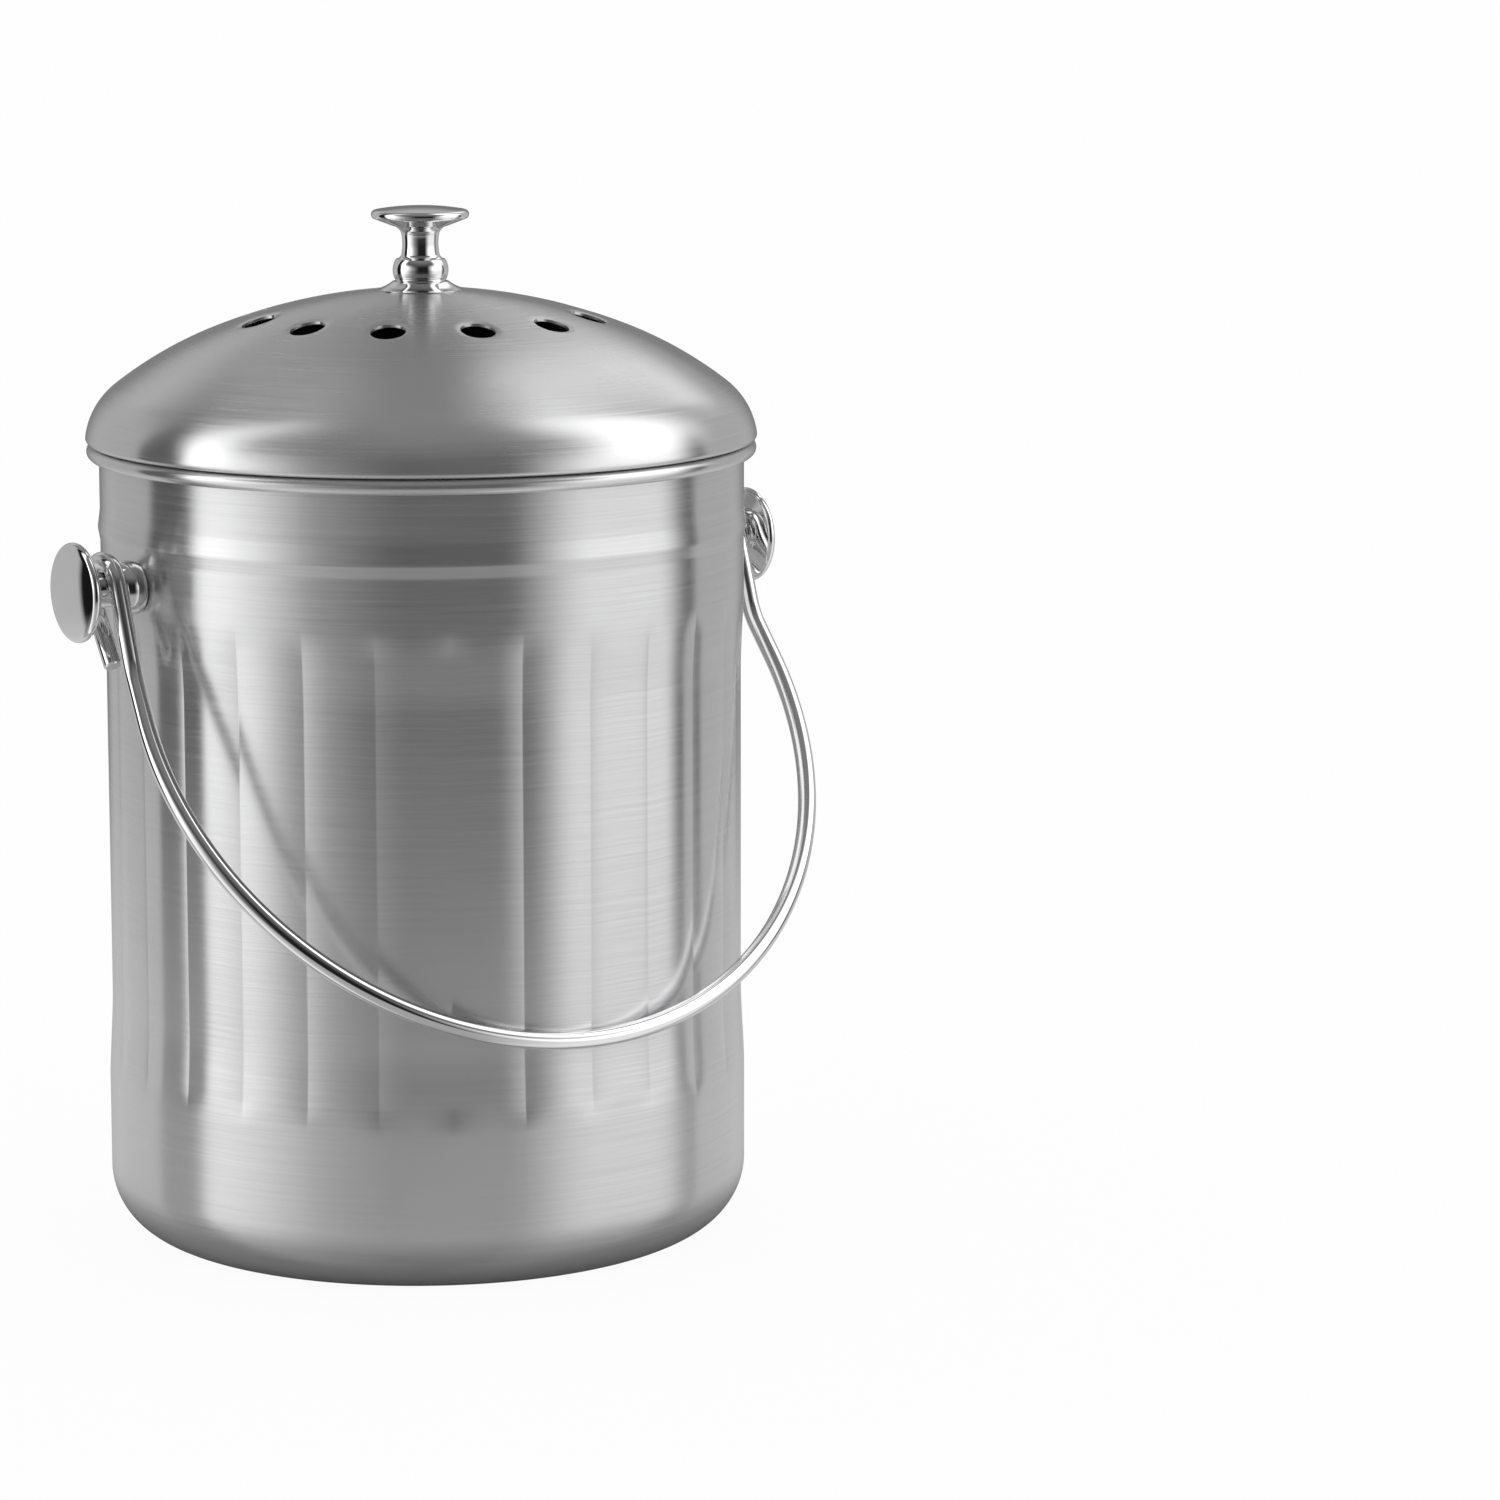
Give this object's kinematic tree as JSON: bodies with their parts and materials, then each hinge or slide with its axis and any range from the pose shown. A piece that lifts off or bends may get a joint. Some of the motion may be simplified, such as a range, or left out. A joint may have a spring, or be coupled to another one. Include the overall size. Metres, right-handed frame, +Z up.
{
  "type": "compost caddy",
  "caption": "Lidded steel caddy with pressed flutes, a swinging wire bail, a vented dome lid and a filter held under the lid.",
  "frame": {"origin": "middle of the foot ring, on the surface that the caddy stands on", "axes": "+Z up along the bucket's axis, +X along the bail's pivot axis, -Y the side that the bail hangs on at rest"},
  "size_m": [0.2186, 0.1854, 0.2855],
  "materials": {
    "brushed": "brushed, lines round the axis",
    "polished": "polished",
    "charcoal": "open-celled foam"
  },
  "bodies": {
    "bucket": {"bucket_shell": "brushed", "left_stud": "polished", "right_stud": "polished", "left_stud_screw": "polished", "right_stud_screw": "polished", "left_stud_washer": "polished", "right_stud_washer": "polished"},
    "bail": {"bail_handle": "polished"},
    "lid": {"lid_dome": "brushed", "lid_plug_ring": "brushed", "lid_knob": "polished", "knob_collar": "polished", "knob_screw": "polished", "knob_washer": "polished"},
    "filter_tray": {"filter_retainer": "brushed", "charcoal_filter": "charcoal"}
  },
  "joints": [
    {"name": "bail_swing", "type": "hinge", "parent": "bucket", "child": "bail", "pos_m": [0, 0, 0.187], "axis": [-1, 0, 0], "range_deg": [0, 284.5]},
    {"name": "lid_lift", "type": "slide", "parent": "bucket", "child": "lid", "axis": [0, 0, 1], "range_m": [0, 0.1]},
    {"name": "retainer_pull", "type": "slide", "parent": "lid", "child": "filter_tray", "axis": [0, 0, -1], "range_m": [0, 0.01]}
  ]
}
